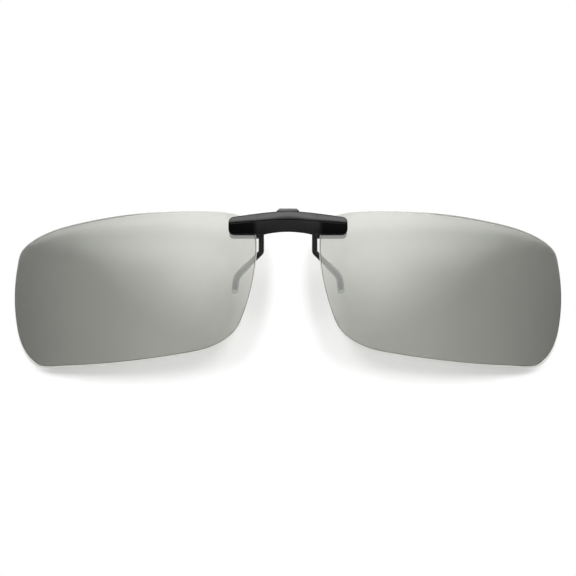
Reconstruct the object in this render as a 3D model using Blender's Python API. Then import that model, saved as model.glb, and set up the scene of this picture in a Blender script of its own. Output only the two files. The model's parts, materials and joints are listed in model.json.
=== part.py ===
"""Clip-on sunglasses: two rimless tinted lenses on a moulded bridge, held on a pair of spectacles by a
sprung clamp with four silicone-sleeved claws.

Sizes below are in millimetres and every mesh is written in metres. +X points to the wearer's left, +Y from
the front of the lenses towards the face, +Z up. The origin is on the middle of the bridge cover's flat
front face.
"""

import math

import bmesh
import bpy
from mathutils import Vector

MM = 0.001

# Lens: one dioptre-free spherical shell on each side of the nose.
LENS_RADIUS = 220.0  # front surface
LENS_THICKNESS = 1.0
LENS_APEX_X = 9.5  # where the shell is square to the view, close to the nose, so that the front wraps
LENS_APEX_Y = 1.15
LENS_APEX_Z = -15.3
LENS_CORNERS = ((8.2, 2.85), (14.35, -29.25), (64.1, -34.85), (64.85, -3.2))  # nasal top, down and out
LENS_BOWS = (2.82, 1.44, 2.81, 3.25)  # how far the side that starts at each corner bulges outwards
LENS_TRIMS = ((0.21, 0.24), (0.18, 0.17), (0.08, 0.30), (0.14, 0.21))  # share rounded off on its two sides
CORNER_FULLNESS = ((0.6, 0.95), (0.6, 0.6), (0.6, 0.6), (0.6, 0.6))  # reach of its two curve handles
SIDE_STEPS = 8
CORNER_STEPS = 7
LENS_RINGS = 4

# Bridge cover: the front moulding.
COVER_HALF_WIDTH = 14.6
COVER_TOP = 3.65
COVER_BOTTOM = -2.22
TOP_DROP = 1.5  # the top edge and the crease both fall away from the middle
CREASE_Z = 1.62
CREASE_DROP = 0.85
CREASE_GROOVE = (0.32, 0.14)  # height and depth of the groove under the crease
DROP_AT = 13.5
DROP_POWER = 1.45
ARCH_HALF_WIDTH = 5.9
ARCH_RISE = 0.69
FLAT_HALF_WIDTH = 8.5  # outside it the front face leans back
PAD_LEAN = 0.45
BAND_DEPTH = 1.5  # run of the sloped band above the crease
COVER_CORNER = 1.1  # rounding of the top of its ends
COVER_LOWER_CORNER = 1.3
COVER_CHAMFER = 0.3
COVER_BACK = 2.8
CORE_HALF_WIDTH = 7.3  # thick middle of the cover, between the lenses

# Back plate: clamps the lenses from behind and carries the hinge.
GAP = 0.3
PLATE_FRONT = COVER_BACK + GAP
PLATE_BACK = 4.3
SEAT_BACK = 4.7  # raised flats that bear on the spectacles
SEAT_INNER_X = 8.5
WING_INNER_X = 7.2
WING_END_X = 14.4
WING_BOTTOM = -3.2
WING_CORNER = 1.0
PLATE_TOP_INSET = 0.45
PLATE_BOTTOM_INSET = 0.25
BLEND = 0.15  # run of a sloped step between two depths

# Hinge.
PIVOT_Y = 7.4
PIVOT_Z = 0.0
PIN_RADIUS = 0.6
PIN_HALF_LENGTH = 4.9
PIN_HOLE_RADIUS = 0.66
EAR_RADIUS = 1.5
EAR_X = (2.2, 3.2)
EAR_ROOT_Z = (-1.2, 0.4)  # where the arm of each ear leaves the plate
CHEEK_X = (3.5, 7.6)
CHEEK_Y = (6.6, 8.8)
CHEEK_Z = (-1.3, 2.3)  # the bottom stays hidden behind the arch of the cover
CHEEK_SOCKET_X = 5.7  # from here outwards the cheek reaches down to hold the claw
BAR_Y = (6.6, 8.0)
BAR_Z = (2.5, 3.3)
COLUMN_X = (2.0, 4.2)
COLUMN_BOTTOM = 1.8
TONGUE_Y = (7.0, 7.8)
TONGUE_TOP = 3.95
TONGUE_HALF_WIDTH = 2.1
EDGE = 0.2  # moulded edge rounding

# Press tab, pushed on over the lever's tongue.
TAB_HALF_WIDTH = 2.75
TAB_TOP = 4.29
TAB_BOTTOM = 3.45
TAB_Y = (6.4, 9.0)
THUMB_Y = 8.2
THUMB_BOTTOM = 1.8
TAB_FIT = 0.1
TAB_CHAMFER = (0.65, 0.5)  # width and drop of its two cut top corners
TAB_SLOPE = 0.42  # the sloped front edge
RIB_COUNT = 3
RIB_RADIUS = 0.22

# Torsion spring.
SPRING_WIRE = 0.25
SPRING_RADIUS = 1.15
SPRING_PITCH = 0.66
FIXED_LEG_ANGLE = 75.0  # degrees from +Y towards +Z, where the leg leaves the coil for the back plate
MOVING_LEG_ANGLE = -1260.0  # where the other leg leaves it, straight up the lever
FIXED_LEG_LENGTH = 3.15
MOVING_LEG_LENGTH = 3.0

# Claws: bent wire, two fixed to the plate and two to the lever.
WIRE_RADIUS = 0.68
SOCKET_RADIUS = 0.78
CLAW_PATH = ((6.55, -0.2), (6.55, -6.45), (12.68, -12.45), (13.0, -15.5))  # x, z of its bends
BEND_RADII = (1.0, 4.0)
FRONT_CLAW_Y = 5.1
REAR_CLAW_Y = 7.5
SOCKET_X = (5.7, 7.4)
SOCKET_Y = (4.1, 6.1)
SOCKET_Z = (-2.1, 0.6)
SLEEVE_INNER = 0.74
SLEEVE_OUTER = 0.88
SLEEVE_START = 0.6  # share of the claw's length where its sleeve begins
SLEEVE_TIP = 0.35  # clear silicone beyond the end of the wire

# Lens screws, each in a plastic bush.
SCREW_X = (10.9, 13.1)
SCREW_Z = -0.7
SCREW_RADIUS = 0.5
SCREW_HEAD_RADIUS = 0.8
SCREW_HEAD = 0.45
SCREW_FRONT_Y = 0.75
SCREW_FLOOR_Y = 4.0
CLEARANCE = 0.1
BUSH_RADIUS = 0.8
BUSH_Y = (1.5, 2.8)
LENS_HOLE_RADIUS = 0.88
SLOT_WIDTH = 0.25
SLOT_DEPTH = 0.2

ROUND_STEPS = 20
WIRE_STEPS = 12


# ---------------------------------------------------------------- scene, materials and meshes


def clear_scene():
    for obj in list(bpy.data.objects):
        bpy.data.objects.remove(obj, do_unlink=True)


def make_material(name, colour, roughness, metallic=0.0, alpha=1.0):
    material = bpy.data.materials.new(name)
    material.use_nodes = True
    shader = material.node_tree.nodes["Principled BSDF"]
    shader.inputs["Base Color"].default_value = (*colour, 1.0)
    shader.inputs["Roughness"].default_value = roughness
    shader.inputs["Metallic"].default_value = metallic
    shader.inputs["Alpha"].default_value = alpha
    material.diffuse_color = (*colour, alpha)
    return material


def add_object(name, bm, material, origin=(0.0, 0.0, 0.0), smooth_degrees=30.0):
    """Links a bmesh drawn in millimetres as an object in metres, its origin at the given point."""
    bmesh.ops.recalc_face_normals(bm, faces=bm.faces)
    mesh = bpy.data.meshes.new(name)
    bmesh.ops.translate(bm, verts=bm.verts, vec=-Vector(origin))
    bmesh.ops.scale(bm, verts=bm.verts, vec=(MM, MM, MM))
    bm.to_mesh(mesh)
    bm.free()
    mesh.shade_smooth()
    mesh.set_sharp_from_angle(angle=math.radians(smooth_degrees))
    mesh.materials.append(material)
    obj = bpy.data.objects.new(name, mesh)
    obj.location = Vector(origin) * MM
    bpy.context.collection.objects.link(obj)
    return obj


def combine(target, tools, operation):
    """Adds a Boolean for each tool, which stays in the file as a hidden wire guide."""
    for tool in tools:
        tool.hide_render = True
        tool.display_type = "WIRE"
        modifier = target.modifiers.new(f"{operation.lower()} {tool.name}", "BOOLEAN")
        modifier.operation = operation
        modifier.solver = "EXACT"
        modifier.object = tool


# ---------------------------------------------------------------- shapes


def loft(sections):
    """A closed body through equal-length loops of points, with a flat cap on the first and the last."""
    bm = bmesh.new()
    loops = [[bm.verts.new(point) for point in section] for section in sections]
    for lower, upper in zip(loops, loops[1:]):
        for i in range(len(lower)):
            j = (i + 1) % len(lower)
            bm.faces.new((lower[i], lower[j], upper[j], upper[i]))
    bm.faces.new(list(reversed(loops[0])))
    bm.faces.new(loops[-1])
    return bm


def round_edges(bm, edge):
    bmesh.ops.recalc_face_normals(bm, faces=bm.faces)
    bmesh.ops.bevel(bm, geom=bm.edges[:], offset=edge, segments=2, profile=0.5, affect="EDGES")


def prism(profile, x_range, edge=0.0):
    """A y, z outline drawn out along X, with its edges rounded over if asked."""
    bm = loft([[Vector((x, y, z)) for y, z in profile] for x in x_range])
    if edge:
        round_edges(bm, edge)
    return bm


def block(x_range, y_range, z_range, edge=0.0):
    (front, back), (low, high) = y_range, z_range
    return prism(((front, low), (back, low), (back, high), (front, high)), x_range, edge)


def rod(radius, start, end, steps=ROUND_STEPS):
    """A round bar from start to end, along X, Y or any other straight line."""
    bm = bmesh.new()
    start = Vector(start)
    along = Vector(end) - start
    bmesh.ops.create_cone(
        bm, cap_ends=True, segments=steps, radius1=radius, radius2=radius, depth=along.length
    )
    turn = Vector((0.0, 0.0, 1.0)).rotation_difference(along.normalized())
    bmesh.ops.rotate(bm, verts=bm.verts, matrix=turn.to_matrix())
    bmesh.ops.translate(bm, verts=bm.verts, vec=start + along / 2)
    return bm


def circle_frames(path):
    """Two directions square to the path at each of its points, carried along without twist."""
    frames = []
    side = None
    for i, point in enumerate(path):
        before = path[max(i - 1, 0)]
        after = path[min(i + 1, len(path) - 1)]
        along = (after - before).normalized()
        if side is None:
            side = along.orthogonal().normalized()
        side = (side - along * side.dot(along)).normalized()
        frames.append((point, side, along.cross(side)))
    return frames


def ring(frame, radius, steps):
    centre, side, up = frame
    turns = (math.tau * k / steps for k in range(steps))
    return [centre + (side * math.cos(turn) + up * math.sin(turn)) * radius for turn in turns]


def swept(path, radius, steps=WIRE_STEPS):
    return loft([ring(frame, radius, steps) for frame in circle_frames(path)])


def rounded_path(corners, radii, steps=5):
    """The corners joined by straight runs, with an arc of the given radius at each inner corner."""
    path = [corners[0]]
    for before, corner, after, radius in zip(corners, corners[1:], corners[2:], radii):
        back = (before - corner).normalized()
        ahead = (after - corner).normalized()
        half = back.angle(ahead) / 2
        run = radius / math.tan(half)
        centre = corner + (back + ahead).normalized() * (radius / math.sin(half))
        first = corner + back * run - centre
        last = corner + ahead * run - centre
        turn = first.angle(last)
        for k in range(steps + 1):
            share = k / steps
            weight_first = math.sin((1 - share) * turn) / math.sin(turn)
            weight_last = math.sin(share * turn) / math.sin(turn)
            path.append(centre + first * weight_first + last * weight_last)
    path.append(corners[-1])
    return path


def path_from(path, share):
    """The part of the path beyond the given share of its length."""
    lengths = [(b - a).length for a, b in zip(path, path[1:])]
    skip = share * sum(lengths)
    for i, length in enumerate(lengths):
        if skip < length:
            return [path[i].lerp(path[i + 1], skip / length), *path[i + 1 :]]
        skip -= length
    return path[-2:]


# ---------------------------------------------------------------- lenses


def lens_surface(x, z, depth=0.0):
    """The lens's y at a place, on its front surface or at a depth behind it."""
    across = abs(x) - LENS_APEX_X
    up = z - LENS_APEX_Z
    return LENS_APEX_Y + LENS_RADIUS - math.sqrt((LENS_RADIUS - depth) ** 2 - across**2 - up**2)


def bowed_side(start, end, bow, share):
    """A point on the arc between two corners that bulges by bow to the right of the way it runs."""
    chord = end - start
    half = chord.length / 2
    radius = (half**2 + bow**2) / (2 * bow)
    turn = math.asin(half / radius) * (2 * share - 1)
    outwards = Vector((chord.y, -chord.x)).normalized()
    along = chord.normalized() * (half + radius * math.sin(turn))
    return start + along + outwards * (radius * math.cos(turn) - radius + bow)


def tangent_crossing(first, first_way, second, second_way):
    gap = second - first
    cross = first_way.x * second_way.y - first_way.y * second_way.x
    return first + first_way * ((gap.x * second_way.y - gap.y * second_way.x) / cross)


def lens_outline():
    """The lens's edge as seen from the front, for the side with x above zero."""
    corners = [Vector(corner) for corner in LENS_CORNERS]
    count = len(corners)

    def point(side, share):
        return bowed_side(corners[side], corners[(side + 1) % count], LENS_BOWS[side], share)

    outline = []
    for side in range(count):
        following = (side + 1) % count
        first = LENS_TRIMS[side][1]
        last = 1.0 - LENS_TRIMS[following][0]
        for k in range(SIDE_STEPS + 1):
            outline.append(point(side, first + (last - first) * k / SIDE_STEPS))
        leave = outline[-1]
        arrive = point(following, LENS_TRIMS[following][1])
        leave_way = leave - point(side, last - 0.01)
        arrive_way = point(following, LENS_TRIMS[following][1] + 0.01) - arrive
        apex = tangent_crossing(leave, leave_way, arrive, arrive_way)
        leave_handle = leave.lerp(apex, CORNER_FULLNESS[following][0])
        arrive_handle = arrive.lerp(apex, CORNER_FULLNESS[following][1])
        for k in range(1, CORNER_STEPS):
            t = k / CORNER_STEPS
            s = 1.0 - t
            near = leave * s**3 + leave_handle * (3 * s * s * t)
            outline.append(near + arrive_handle * (3 * s * t * t) + arrive * t**3)
    return outline


def lens_shell(side):
    outline = lens_outline()
    middle = sum(outline, Vector((0.0, 0.0))) / len(outline)
    bm = bmesh.new()

    def surface(depth):
        rings = []
        for k in range(LENS_RINGS, 0, -1):
            share = k / LENS_RINGS
            places = [middle.lerp(point, share) for point in outline]
            points = [(side * p.x, lens_surface(p.x, p.y, depth), p.y) for p in places]
            rings.append([bm.verts.new(point) for point in points])
        centre = bm.verts.new((side * middle.x, lens_surface(middle.x, middle.y, depth), middle.y))
        return rings, centre

    front, front_centre = surface(0.0)
    back, back_centre = surface(LENS_THICKNESS)
    for rings, centre in ((front, front_centre), (back, back_centre)):
        for outer, inner in zip(rings, rings[1:]):
            for i in range(len(outer)):
                j = (i + 1) % len(outer)
                bm.faces.new((outer[i], outer[j], inner[j], inner[i]))
        for i in range(len(outline)):
            bm.faces.new((rings[-1][i], rings[-1][(i + 1) % len(outline)], centre))
    for i in range(len(outline)):
        j = (i + 1) % len(outline)
        bm.faces.new((front[0][i], front[0][j], back[0][j], back[0][i]))
    return bm


def add_lens(name, side, material):
    lens = add_object(name, lens_shell(side), material)
    holes = [
        add_object(
            f"{name}_hole_{i}",
            rod(LENS_HOLE_RADIUS, (side * x, 0.0, SCREW_Z), (side * x, PLATE_BACK, SCREW_Z)),
            material,
        )
        for i, x in enumerate(SCREW_X)
    ]
    combine(lens, holes, "DIFFERENCE")


# ---------------------------------------------------------------- bridge cover and back plate


def fall(x):
    """Zero in the middle of the bridge and one where its drop is stated."""
    return (abs(x) / DROP_AT) ** DROP_POWER


def bridge_top(x):
    return COVER_TOP - TOP_DROP * fall(x)


def bridge_bottom(x):
    return COVER_BOTTOM + ARCH_RISE * max(0.0, 1.0 - (x / ARCH_HALF_WIDTH) ** 2)


def end_inset(x, end, radius):
    """How much a rounded end takes off the top and off the bottom at x."""
    over = max(0.0, abs(x) - (end - radius))
    return radius - math.sqrt(max(0.0, radius**2 - over**2))


def mirrored(stations):
    return [-x for x in reversed(stations) if x] + list(stations)


def rounded_stations(end, radius, steps=4):
    return [end - radius + radius * math.sin(math.pi / 2 * k / steps) for k in range(1, steps + 1)]


def cover_section(x):
    top = bridge_top(x) - end_inset(x, COVER_HALF_WIDTH, COVER_CORNER)
    bottom = bridge_bottom(x) + end_inset(x, COVER_HALF_WIDTH, COVER_LOWER_CORNER)
    crease = min(CREASE_Z - CREASE_DROP * fall(x), top - COVER_CHAMFER)
    groove_height, groove_depth = CREASE_GROOVE
    lean = max(0.0, abs(x) - FLAT_HALF_WIDTH) / (COVER_HALF_WIDTH - FLAT_HALF_WIDTH)
    front = PAD_LEAN * lean
    band = BAND_DEPTH - (BAND_DEPTH - COVER_CHAMFER) * lean / 2
    if abs(x) <= CORE_HALF_WIDTH:
        back_top = back_bottom = COVER_BACK
    else:
        back_top = lens_surface(x, top) - GAP
        back_bottom = lens_surface(x, bottom) - GAP
    band = min(band, back_top - front - COVER_CHAMFER)
    return [
        Vector((x, front, bottom + COVER_CHAMFER)),
        Vector((x, front, crease - groove_height)),
        Vector((x, front + groove_depth, crease - groove_height / 2)),
        Vector((x, front, crease)),
        Vector((x, front + band, top)),
        Vector((x, back_top, top)),
        Vector((x, back_bottom, bottom)),
        Vector((x, front + COVER_CHAMFER, bottom)),
    ]


def cover_stations():
    arch = [ARCH_HALF_WIDTH * k / 6 for k in range(7)]
    outer = [CORE_HALF_WIDTH, CORE_HALF_WIDTH + BLEND, FLAT_HALF_WIDTH, 10.0, 11.7]
    start = [COVER_HALF_WIDTH - COVER_LOWER_CORNER]
    return mirrored(arch + outer + start + rounded_stations(COVER_HALF_WIDTH, COVER_LOWER_CORNER, 6))


def add_cover(material):
    cover = add_object("bridge_cover", loft([cover_section(x) for x in cover_stations()]), material)
    holes = [
        add_object(
            f"cover_hole_{side}_{i}",
            rod(
                SCREW_RADIUS + CLEARANCE,
                (side * x, SCREW_FRONT_Y - CLEARANCE, SCREW_Z),
                (side * x, COVER_BACK, SCREW_Z),
            ),
            material,
        )
        for side in (-1, 1)
        for i, x in enumerate(SCREW_X)
    ]
    combine(cover, holes, "DIFFERENCE")


def plate_section(x):
    inset = end_inset(x, WING_END_X, WING_CORNER)
    top = bridge_top(x) - PLATE_TOP_INSET - inset
    if abs(x) < WING_INNER_X:
        bottom = bridge_bottom(x) + PLATE_BOTTOM_INSET
    else:
        bottom = WING_BOTTOM + inset
    if abs(x) <= CORE_HALF_WIDTH:
        front_top = front_bottom = PLATE_FRONT
    else:
        front_top = lens_surface(x, top, LENS_THICKNESS) + GAP
        front_bottom = lens_surface(x, bottom, LENS_THICKNESS) + GAP
    back = SEAT_BACK if abs(x) >= SEAT_INNER_X else PLATE_BACK
    return [
        Vector((x, front_bottom, bottom)),
        Vector((x, front_top, top)),
        Vector((x, back, top)),
        Vector((x, back, bottom)),
    ]


def plate_stations():
    arch = [ARCH_HALF_WIDTH * k / 4 for k in range(5)]
    steps = [WING_INNER_X - BLEND, WING_INNER_X, CORE_HALF_WIDTH, CORE_HALF_WIDTH + BLEND]
    seat = [SEAT_INNER_X - BLEND, SEAT_INNER_X, 11.7, WING_END_X - WING_CORNER]
    return mirrored(arch + steps + seat + rounded_stations(WING_END_X, WING_CORNER))


def ear(side):
    """A cheek of the hinge: a round eye about the pin on an arm that grows out of the plate."""
    turns = [math.radians(-90 + 225 * k / 15) for k in range(16)]
    eye = [(PIVOT_Y + EAR_RADIUS * math.cos(t), PIVOT_Z + EAR_RADIUS * math.sin(t)) for t in turns]
    root = PLATE_BACK - EDGE
    profile = [(root, EAR_ROOT_Z[0]), *eye, (root, EAR_ROOT_Z[1])]
    return prism(profile, (side * EAR_X[0], side * EAR_X[1]))


def add_plate(material):
    plate = add_object("back_plate", loft([plate_section(x) for x in plate_stations()]), material)
    added = []
    cutters = []
    for side in (-1, 1):
        tag = "left" if side > 0 else "right"
        added.append(add_object(f"plate_ear_{tag}", ear(side), material))
        socket_x = (side * SOCKET_X[0], side * SOCKET_X[1])
        added.append(add_object(f"plate_socket_{tag}", block(socket_x, SOCKET_Y, SOCKET_Z), material))
        start, end = claw_hole(side, FRONT_CLAW_Y)
        cutters.append(add_object(f"plate_claw_hole_{tag}", rod(SOCKET_RADIUS, start, end), material))
        for i, x in enumerate(SCREW_X):
            front = (side * x, BUSH_Y[0], SCREW_Z)
            floor = (side * x, SCREW_FLOOR_Y, SCREW_Z)
            behind = (side * x, SEAT_BACK + 1, SCREW_Z)
            through = rod(SCREW_RADIUS + CLEARANCE, front, behind)
            recess = rod(SCREW_HEAD_RADIUS + CLEARANCE, floor, behind)
            cutters.append(add_object(f"plate_screw_hole_{tag}_{i}", through, material))
            cutters.append(add_object(f"plate_screw_recess_{tag}_{i}", recess, material))
    bore = rod(PIN_HOLE_RADIUS, (-EAR_X[1] - 1, PIVOT_Y, PIVOT_Z), (EAR_X[1] + 1, PIVOT_Y, PIVOT_Z))
    cutters.append(add_object("plate_pin_bore", bore, material))
    combine(plate, added, "UNION")
    combine(plate, cutters, "DIFFERENCE")


def add_screws(steel, plastic):
    for side in (-1, 1):
        tag = "left" if side > 0 else "right"
        for x, place in zip(SCREW_X, ("inner", "outer")):
            head_front = SCREW_FLOOR_Y + CLEARANCE
            head_back = head_front + SCREW_HEAD
            tip = (side * x, SCREW_FRONT_Y, SCREW_Z)
            shank_end = (side * x, head_front + EDGE, SCREW_Z)
            screw = add_object(
                f"lens_screw_{tag}_{place}",
                rod(SCREW_HEAD_RADIUS, (side * x, head_front, SCREW_Z), (side * x, head_back, SCREW_Z)),
                steel,
            )
            shank = add_object(f"screw_shank_{tag}_{place}", rod(SCREW_RADIUS, tip, shank_end), steel)
            half = SCREW_HEAD_RADIUS + CLEARANCE
            slot = add_object(
                f"screw_slot_{tag}_{place}",
                block(
                    (side * x - half, side * x + half),
                    (head_back - SLOT_DEPTH, head_back + 1),
                    (SCREW_Z - SLOT_WIDTH / 2, SCREW_Z + SLOT_WIDTH / 2),
                ),
                steel,
            )
            combine(screw, [shank], "UNION")
            combine(screw, [slot], "DIFFERENCE")
            bush = add_object(
                f"lens_bush_{tag}_{place}",
                rod(BUSH_RADIUS, (side * x, BUSH_Y[0], SCREW_Z), (side * x, BUSH_Y[1], SCREW_Z)),
                plastic,
            )
            bore = add_object(
                f"bush_bore_{tag}_{place}",
                rod(SCREW_RADIUS + CLEARANCE, (side * x, 0.0, SCREW_Z), (side * x, PLATE_BACK, SCREW_Z)),
                plastic,
            )
            combine(bush, [bore], "DIFFERENCE")


# ---------------------------------------------------------------- clamp


def pivot_point():
    return Vector((0.0, PIVOT_Y, PIVOT_Z))


def add_pin(steel):
    pin = rod(PIN_RADIUS, (-PIN_HALF_LENGTH, PIVOT_Y, PIVOT_Z), (PIN_HALF_LENGTH, PIVOT_Y, PIVOT_Z))
    add_object("hinge_pin", pin, steel)


def spring_path():
    """From the tip of the leg on the back plate, round the pin, to the tip of the leg on the lever."""
    first = math.radians(FIXED_LEG_ANGLE)
    last = math.radians(MOVING_LEG_ANGLE)
    width = SPRING_PITCH * (first - last) / math.tau

    def on_coil(angle):
        x = width * ((first - angle) / (first - last) - 0.5)
        y = PIVOT_Y + SPRING_RADIUS * math.cos(angle)
        z = PIVOT_Z + SPRING_RADIUS * math.sin(angle)
        return Vector((x, y, z))

    def way(angle):
        return Vector((0.0, math.sin(angle), -math.cos(angle)))

    steps = 52
    coil = [on_coil(first + (last - first) * k / steps) for k in range(steps + 1)]
    return [coil[0] - way(first) * FIXED_LEG_LENGTH, *coil, coil[-1] + way(last) * MOVING_LEG_LENGTH]


def add_spring(steel):
    add_object("torsion_spring", swept(spring_path(), SPRING_WIRE, 8), steel, pivot_point())


def cheek(side):
    """One side of the lever: it straddles the pin and reaches down at its outer end, round the claw."""
    inner, outer = CHEEK_X
    bottom, top = CHEEK_Z
    profile = (
        (inner, bottom),
        (CHEEK_SOCKET_X, bottom),
        (CHEEK_SOCKET_X, SOCKET_Z[0]),
        (outer, SOCKET_Z[0]),
        (outer, top),
        (inner, top),
    )
    bm = loft([[Vector((side * x, y, z)) for x, z in profile] for y in CHEEK_Y])
    round_edges(bm, EDGE)
    return bm


def add_lever(material):
    pivot = pivot_point()
    window = (-COLUMN_X[1], COLUMN_X[1])
    lever = add_object("jaw_lever", block(window, BAR_Y, BAR_Z), material, pivot)
    added = [
        add_object(
            "lever_tongue",
            block((-TONGUE_HALF_WIDTH, TONGUE_HALF_WIDTH), TONGUE_Y, (BAR_Z[0] + EDGE, TONGUE_TOP)),
            material,
        )
    ]
    cutters = []
    for side in (-1, 1):
        tag = "left" if side > 0 else "right"
        column_x = (side * COLUMN_X[0], side * COLUMN_X[1])
        added.append(add_object(f"lever_cheek_{tag}", cheek(side), material))
        column_z = (COLUMN_BOTTOM, BAR_Z[1])
        added.append(add_object(f"lever_column_{tag}", block(column_x, BAR_Y, column_z), material))
        start, end = claw_hole(side, REAR_CLAW_Y)
        cutters.append(add_object(f"lever_claw_hole_{tag}", rod(SOCKET_RADIUS, start, end), material))
    half = PIN_HALF_LENGTH + CLEARANCE
    bore = rod(PIN_HOLE_RADIUS, (-half, PIVOT_Y, PIVOT_Z), (half, PIVOT_Y, PIVOT_Z))
    cutters.append(add_object("lever_pin_bore", bore, material))
    combine(lever, added, "UNION")
    combine(lever, cutters, "DIFFERENCE")


def corner_cut(side):
    """A wedge from front to back that takes off one top corner of the press tab."""
    width, drop = TAB_CHAMFER
    wedge = (
        (TAB_HALF_WIDTH - 2 * width, TAB_TOP + drop),
        (TAB_HALF_WIDTH + width, TAB_TOP + drop),
        (TAB_HALF_WIDTH + width, TAB_TOP - 2 * drop),
    )
    front, back = TAB_Y
    return loft([[Vector((side * x, y, z)) for x, z in wedge] for y in (front - 1, back + 1)])


def add_press_tab(material):
    """A cap over the lever's tongue, with a ribbed thumb plate down its back."""
    front, back = TAB_Y
    profile = (
        (front, TAB_BOTTOM),
        (THUMB_Y, TAB_BOTTOM),
        (THUMB_Y, THUMB_BOTTOM),
        (back, THUMB_BOTTOM),
        (back, TAB_TOP),
        (front + TAB_SLOPE, TAB_TOP),
        (front, TAB_TOP - TAB_SLOPE),
    )
    tab_shape = prism(profile, (-TAB_HALF_WIDTH, TAB_HALF_WIDTH), EDGE)
    tab = add_object("press_tab", tab_shape, material, pivot_point())
    added = []
    for k in range(RIB_COUNT):
        z = THUMB_BOTTOM + (TAB_TOP - THUMB_BOTTOM) * (k + 1) / (RIB_COUNT + 1)
        rib = rod(
            RIB_RADIUS,
            (-TAB_HALF_WIDTH + 2 * EDGE, TAB_Y[1], z),
            (TAB_HALF_WIDTH - 2 * EDGE, TAB_Y[1], z),
            WIRE_STEPS,
        )
        added.append(add_object(f"tab_rib_{k}", rib, material))
    half = TONGUE_HALF_WIDTH + TAB_FIT
    slot_y = (TONGUE_Y[0] - TAB_FIT, TONGUE_Y[1] + TAB_FIT)
    slot = block((-half, half), slot_y, (TAB_BOTTOM - 1, TONGUE_TOP + TAB_FIT))
    combine(tab, added, "UNION")
    cutters = [add_object("tab_slot", slot, material)]
    cutters += [add_object(f"tab_corner_{side}", corner_cut(side), material) for side in (-1, 1)]
    combine(tab, cutters, "DIFFERENCE")


def claw_hole(side, y):
    """Start and end of the socket that a claw is pressed into, open at the bottom."""
    x, top = CLAW_PATH[0]
    return (side * x, y, top + GAP), (side * x, y, SOCKET_Z[0] - 1)


def claw_path(side, y):
    corners = [Vector((side * x, y, z)) for x, z in CLAW_PATH]
    return rounded_path(corners, BEND_RADII)


def sleeve(path):
    """A tube over the end of the wire, open where it starts and closed by a round tip."""
    covered = path_from(path, SLEEVE_START)
    along = (covered[-1] - covered[-2]).normalized()
    frames = circle_frames(covered)
    tip_frame = (covered[-1] + along * SLEEVE_TIP / 2, frames[-1][1], frames[-1][2])
    inner = [ring(frame, SLEEVE_INNER, WIRE_STEPS) for frame in (*frames, tip_frame)]
    outer = [ring(frame, SLEEVE_OUTER, WIRE_STEPS) for frame in frames]
    for turn in (30.0, 60.0):
        angle = math.radians(turn)
        reach = SLEEVE_TIP + SLEEVE_OUTER * math.sin(angle)
        frame = (covered[-1] + along * reach, frames[-1][1], frames[-1][2])
        outer.append(ring(frame, SLEEVE_OUTER * math.cos(angle), WIRE_STEPS))
    return loft([*reversed(inner), *outer])


def add_claws(black_wire, silicone):
    for side in (-1, 1):
        tag = "left" if side > 0 else "right"
        for row, y in (("front", FRONT_CLAW_Y), ("rear", REAR_CLAW_Y)):
            path = claw_path(side, y)
            origin = pivot_point() if row == "rear" else (0.0, 0.0, 0.0)
            add_object(f"{row}_claw_{tag}", swept(path, WIRE_RADIUS), black_wire, origin)
            add_object(f"{row}_claw_sleeve_{tag}", sleeve(path), silicone, origin)


def build():
    clear_scene()
    black_plastic = make_material("black moulded plastic", (0.016, 0.016, 0.017), 0.38)
    lens_tint = make_material("grey mirrored lens", (0.32, 0.33, 0.30), 0.05, alpha=0.55)
    steel = make_material("stainless steel", (0.62, 0.62, 0.63), 0.28, metallic=1.0)
    black_wire = make_material("black coated wire", (0.012, 0.012, 0.013), 0.32)
    silicone = make_material("clear silicone", (0.82, 0.84, 0.84), 0.22, alpha=0.4)
    nylon = make_material("natural nylon", (0.74, 0.73, 0.68), 0.45)
    add_cover(black_plastic)
    add_plate(black_plastic)
    add_lens("left_lens", 1, lens_tint)
    add_lens("right_lens", -1, lens_tint)
    add_screws(steel, nylon)
    add_pin(steel)
    add_spring(steel)
    add_lever(black_plastic)
    add_press_tab(black_plastic)
    add_claws(black_wire, silicone)


build()
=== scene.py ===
"""Looks for the clip-on sunglasses: mirror-coated lenses, satin mouldings, coated wire and clear silicone.

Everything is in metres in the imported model's frame: +X to the wearer's left, +Y from the front towards the
face, +Z up, with the origin on the bridge cover's front face.
"""

import json
import math

import bmesh
import bpy
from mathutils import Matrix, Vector
from mathutils.geometry import convex_hull_2d

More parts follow.
